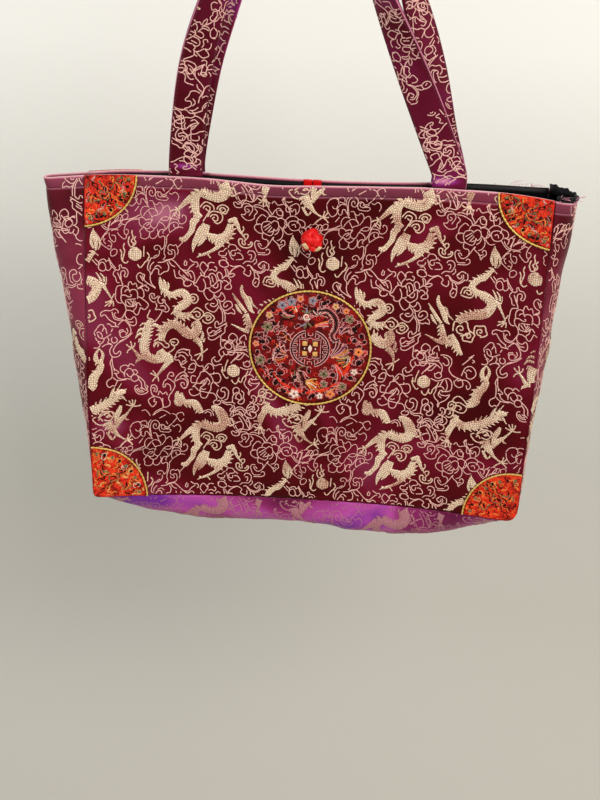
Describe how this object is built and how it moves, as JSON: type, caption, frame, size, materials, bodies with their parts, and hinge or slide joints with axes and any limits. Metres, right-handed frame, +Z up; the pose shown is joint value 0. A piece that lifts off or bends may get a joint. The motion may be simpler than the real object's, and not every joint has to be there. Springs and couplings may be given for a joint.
{
  "type": "brocade tote bag",
  "caption": "Flat brocade tote bag hanging by strap handles, with folded gussets, a base, a black lining, corded corner patches and medallion, and a knot button with its loop",
  "frame": {"origin": "the point that holds the bag up: a hook or hand under the tops of both handle arches", "axes": "+Z up, +X to the right of the bag as its front is seen, +Y from the front to the back"},
  "size_m": [0.46, 0.0866, 0.5985],
  "materials": {
    "brocade": "jacquard-woven satin, burgundy ground with gold and pink figures",
    "base_brocade": "jacquard-woven satin, magenta and violet ground",
    "lining": "black satin",
    "interlining": "thin bonded wadding, hidden",
    "core": "felt strip, hidden",
    "red_brocade": "red satin worked in orange, pink, green and gold",
    "gold_cord": "twisted metallic gold cord",
    "red_satin": "bright red satin"
  },
  "bodies": {
    "bag": {"front_panel": "brocade", "front_panel_interlining": "interlining", "front_panel_lining": "lining", "back_panel": "brocade", "back_panel_interlining": "interlining", "back_panel_lining": "lining", "left_gusset": "brocade", "left_gusset_interlining": "interlining", "left_gusset_lining": "lining", "right_gusset": "brocade", "right_gusset_interlining": "interlining", "right_gusset_lining": "lining", "base_panel": "base_brocade", "base_panel_interlining": "interlining", "base_panel_lining": "lining", "front_handle_left_end": "brocade", "front_handle_right_end": "brocade", "back_handle_left_end": "brocade", "back_handle_right_end": "brocade", "front_top_left_patch": "red_brocade", "front_top_left_patch_cord": "gold_cord", "front_bottom_left_patch": "red_brocade", "front_bottom_left_patch_cord": "gold_cord", "front_top_right_patch": "red_brocade", "front_top_right_patch_cord": "gold_cord", "front_bottom_right_patch": "red_brocade", "front_bottom_right_patch_cord": "gold_cord", "front_medallion": "red_brocade", "front_medallion_cord": "gold_cord", "back_top_left_patch": "red_brocade", "back_top_left_patch_cord": "gold_cord", "back_bottom_left_patch": "red_brocade", "back_bottom_left_patch_cord": "gold_cord", "back_top_right_patch": "red_brocade", "back_top_right_patch_cord": "gold_cord", "back_bottom_right_patch": "red_brocade", "back_bottom_right_patch_cord": "gold_cord", "back_medallion": "red_brocade", "back_medallion_cord": "gold_cord", "button_shank": "red_satin", "knot_button": "red_satin"},
    "front_handle": {"front_handle": "brocade", "front_handle_core": "core"},
    "back_handle": {"back_handle": "brocade", "back_handle_core": "core"},
    "button_loop": {"button_loop": "red_satin"}
  },
  "joints": [
    {"name": "front_handle_fold", "type": "hinge", "parent": "bag", "child": "front_handle", "pos_m": [0.011, -0.00985, -0.2541], "axis": [1, 0, 0], "range_deg": [0, 160]},
    {"name": "back_handle_fold", "type": "hinge", "parent": "bag", "child": "back_handle", "pos_m": [0.011, 0.00985, -0.2541], "axis": [-1, 0, 0], "range_deg": [0, 160]},
    {"name": "button_loop_swing", "type": "hinge", "parent": "bag", "child": "button_loop", "pos_m": [0.007, 0.0047, -0.2586], "axis": [-1, 0, 0], "range_deg": [0, 8]}
  ]
}
